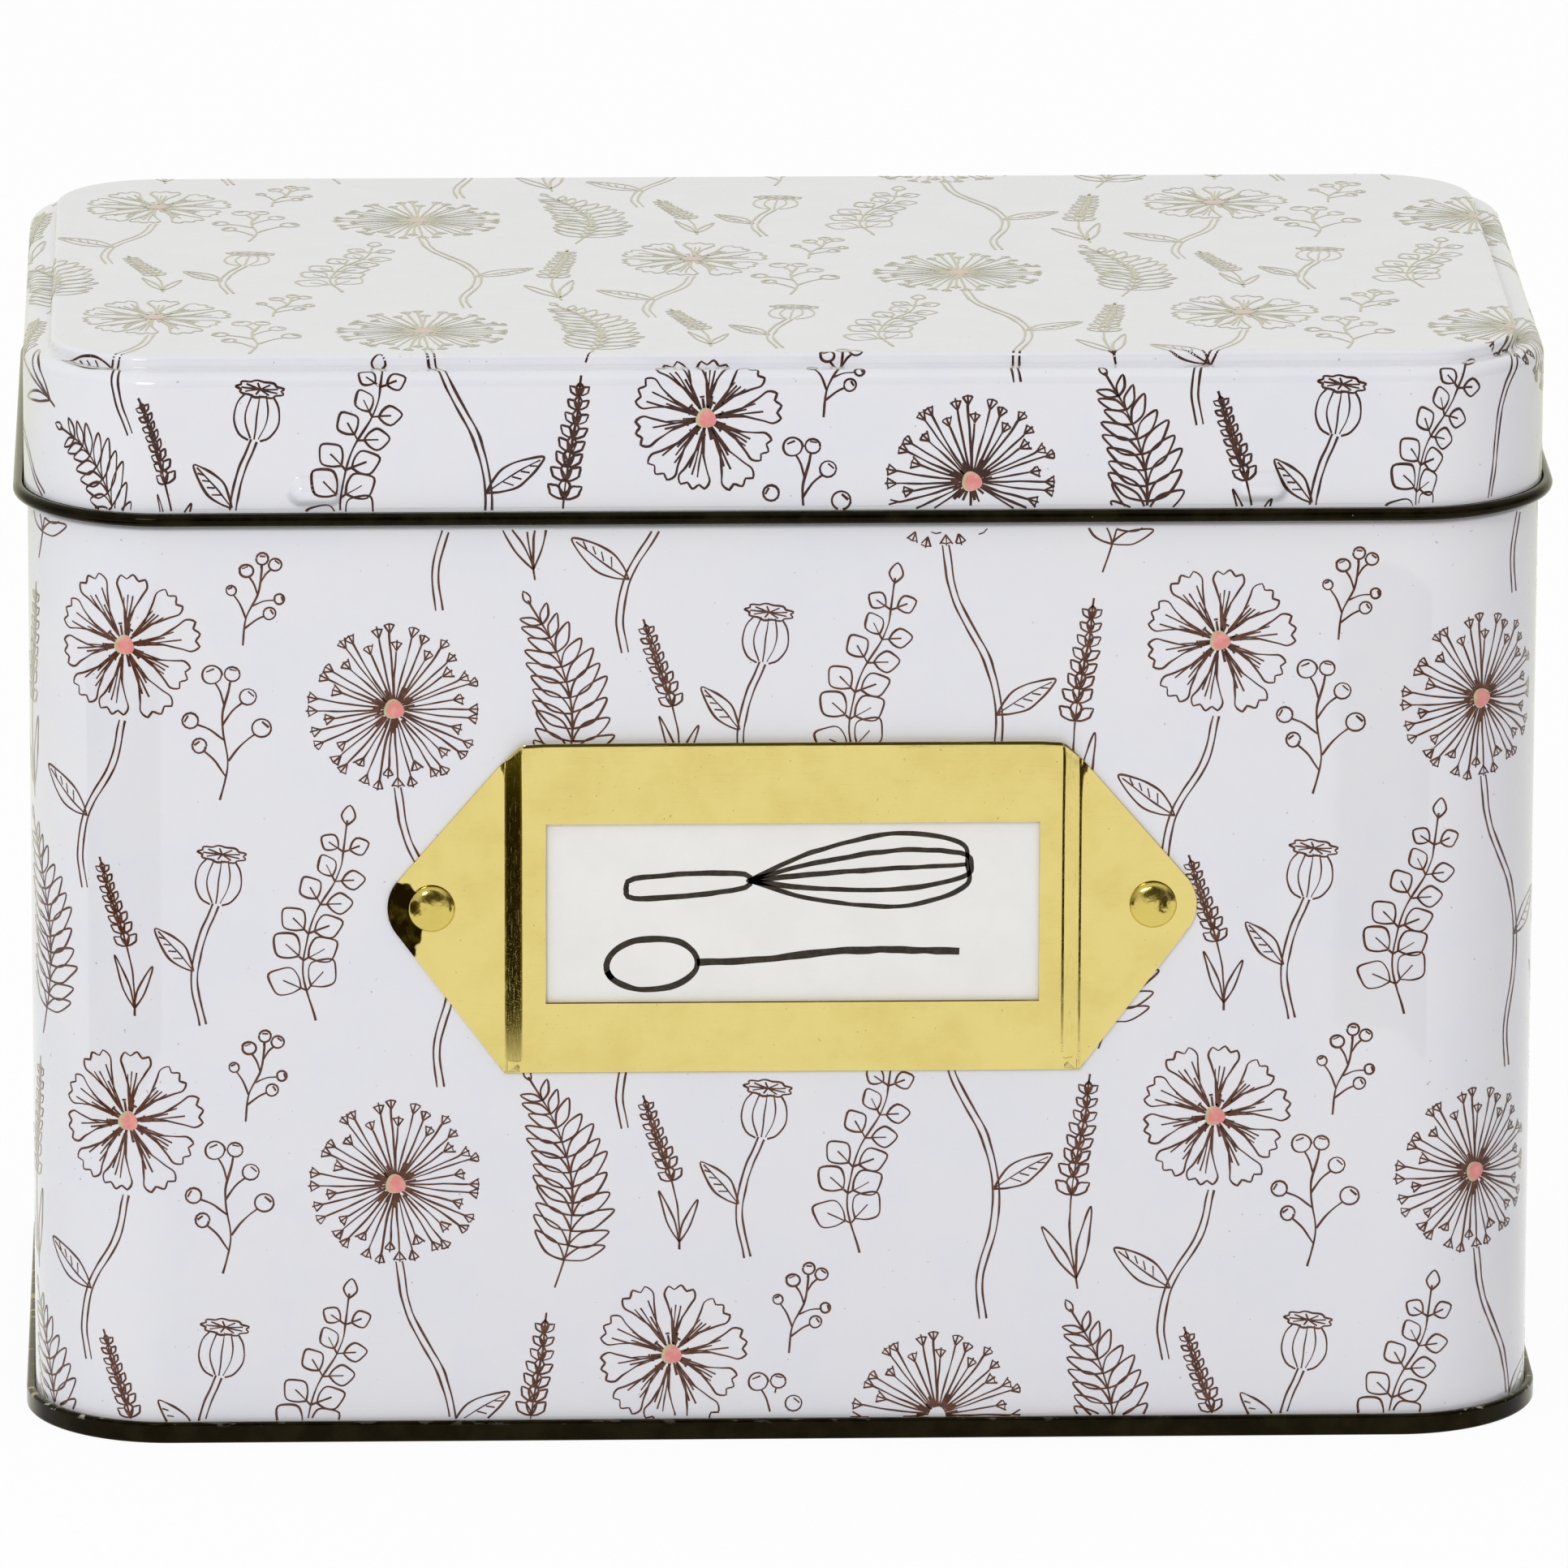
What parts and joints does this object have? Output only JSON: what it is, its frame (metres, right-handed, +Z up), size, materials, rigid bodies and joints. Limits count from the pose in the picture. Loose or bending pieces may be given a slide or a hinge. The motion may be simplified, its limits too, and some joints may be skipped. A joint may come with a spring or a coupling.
{
  "type": "recipe card box",
  "caption": "Rectangular tinplate recipe card box with rounded corners, a lid hinged along its rear rim, and a riveted brass label frame holding a slide-in card.",
  "frame": {"origin": "middle of the base, on the surface that the box stands on", "axes": "+Z up, the front with the label frame faces -Y, the hinge is at +Y, +X is to the right seen from the front"},
  "size_m": [0.1754, 0.1001, 0.127],
  "materials": {
    "printed_tin": "gloss varnish over a fine dark brown line print",
    "printed_lid": "gloss varnish over a fine dark brown line print, black rim",
    "black_lacquer": "gloss black lacquer",
    "hinge_steel": "drawn wire",
    "label_brass": "polished brass plate",
    "rivet_brass": "polished brass plate",
    "card_stock": "matt white card"
  },
  "bodies": {
    "box": {"body_wall": "printed_tin", "bottom_panel": "black_lacquer", "hinge_lug_left": "black_lacquer", "hinge_lug_right": "black_lacquer", "label_frame": "label_brass", "label_rivet_left": "rivet_brass", "label_rivet_right": "rivet_brass"},
    "lid": {"lid_shell": "printed_lid", "hinge_wire": "hinge_steel"},
    "card": {"label_card": "card_stock"}
  },
  "joints": [
    {"name": "lid_hinge", "type": "hinge", "parent": "box", "child": "lid", "pos_m": [0, 0.0489, 0.10886], "axis": [-1, 0, 0], "range_deg": [0, 110]},
    {"name": "card_slide", "type": "slide", "parent": "box", "child": "card", "axis": [0, 0, 1], "range_m": [0, 0.024]}
  ]
}
